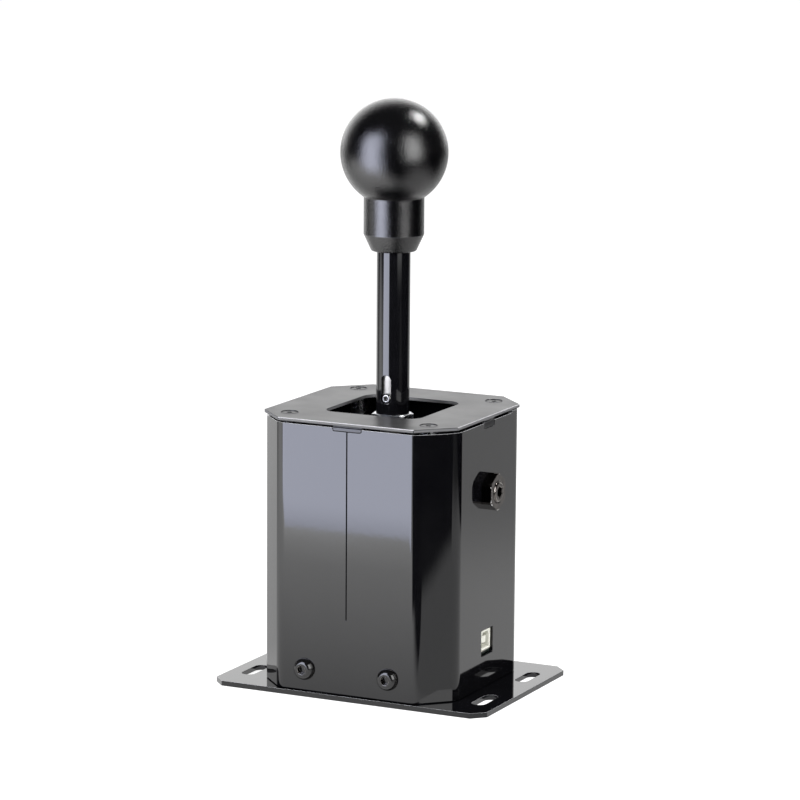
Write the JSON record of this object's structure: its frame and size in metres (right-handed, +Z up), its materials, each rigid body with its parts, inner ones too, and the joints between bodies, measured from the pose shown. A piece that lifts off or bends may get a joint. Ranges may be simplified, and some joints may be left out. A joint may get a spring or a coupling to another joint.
{
  "type": "sim racing gear shifter",
  "caption": "Bench-mounted H-pattern gear shifter: ball-knob lever on a two-axis pivot in an eight-sided steel housing on a slotted base plate.",
  "frame": {"origin": "middle of the base plate's underside, under the lever", "axes": "+Z up along the lever, +Y away from the driver, +X to the driver's right, the side with the USB socket"},
  "size_m": [0.1436, 0.1032, 0.2815],
  "materials": {
    "gloss_black_paint": "gloss powder coat",
    "satin_black_paint": "satin powder coat",
    "gloss_black_tube": "gloss black anodised",
    "blasted_black_aluminium": "bead blasted, black anodised",
    "black_oxide": "black oxide",
    "zinc_steel": "bright zinc plate",
    "bright_steel": "ground",
    "spring_steel": "drawn wire",
    "machined_aluminium": "milled",
    "bush_bronze": "sintered",
    "nickel_plate": "nickel plate",
    "socket_plastic": "moulded",
    "board_laminate": "solder mask",
    "chip_plastic": "moulded"
  },
  "bodies": {
    "casing": {"base_plate": "gloss_black_paint", "housing_shell": "gloss_black_paint", "top_plate": "satin_black_paint", "top_plate_screws": "black_oxide", "corner_posts": "zinc_steel", "post_screws": "black_oxide", "front_foot_bracket": "zinc_steel", "rear_foot_bracket": "zinc_steel", "bracket_screws": "black_oxide", "housing_weld_nuts": "zinc_steel", "housing_screws": "black_oxide", "pivot_frame": "satin_black_paint", "frame_screws": "black_oxide", "pivot_bush_left": "bush_bronze", "pivot_bush_right": "bush_bronze", "gate_plate": "zinc_steel", "gate_screws": "black_oxide", "lower_standoffs": "bush_bronze", "upper_standoffs": "bush_bronze", "controller_board": "board_laminate", "board_chips": "chip_plastic", "usb_socket_shell": "nickel_plate", "usb_socket_core": "socket_plastic", "adjuster_nut": "black_oxide", "adjuster_bush": "zinc_steel"},
    "yoke": {"pivot_shaft_left": "bright_steel", "pivot_shaft_right": "bright_steel", "yoke_frame": "machined_aluminium", "select_pin": "bright_steel", "select_pin_clips": "black_oxide", "centring_spring_left": "spring_steel", "centring_spring_right": "spring_steel", "detent_sector": "bright_steel", "sector_screw": "black_oxide"},
    "lever": {"select_bush_front": "bush_bronze", "select_bush_rear": "bush_bronze", "lever_block": "machined_aluminium", "lever_rod": "zinc_steel", "height_screw": "bright_steel", "gate_pin": "bright_steel", "tail_magnet": "nickel_plate"},
    "grip": {"lever_tube": "gloss_black_tube", "height_nut": "zinc_steel", "shift_knob": "blasted_black_aluminium"},
    "adjuster": {"adjuster_screw": "black_oxide", "detent_spring": "spring_steel"},
    "ball": {"detent_ball": "bright_steel"}
  },
  "joints": [
    {"name": "shift", "type": "hinge", "parent": "casing", "child": "yoke", "pos_m": [0, 0, 0.078], "axis": [1, 0, 0], "range_deg": [-12, 12]},
    {"name": "select", "type": "hinge", "parent": "yoke", "child": "lever", "pos_m": [0, 0, 0.078], "axis": [0, 1, 0], "range_deg": [-10, 10], "stiffness_Nm_per_rad": 3, "deforming": ["centring_spring_left", "centring_spring_right"]},
    {"name": "height_adjust", "type": "slide", "parent": "lever", "child": "grip", "axis": [0, 0, 1], "range_m": [-0.0087, 0]},
    {"name": "detent_adjust", "type": "slide", "parent": "casing", "child": "adjuster", "axis": [1, 0, 0], "range_m": [-0.001, 0.002], "deforming": ["detent_spring"]},
    {"name": "detent_ball_slide", "type": "slide", "parent": "casing", "child": "ball", "axis": [1, 0, 0], "range_m": [-0.0005, 0.0008], "stiffness_N_per_m": 3000, "deforming": ["detent_spring"]}
  ]
}
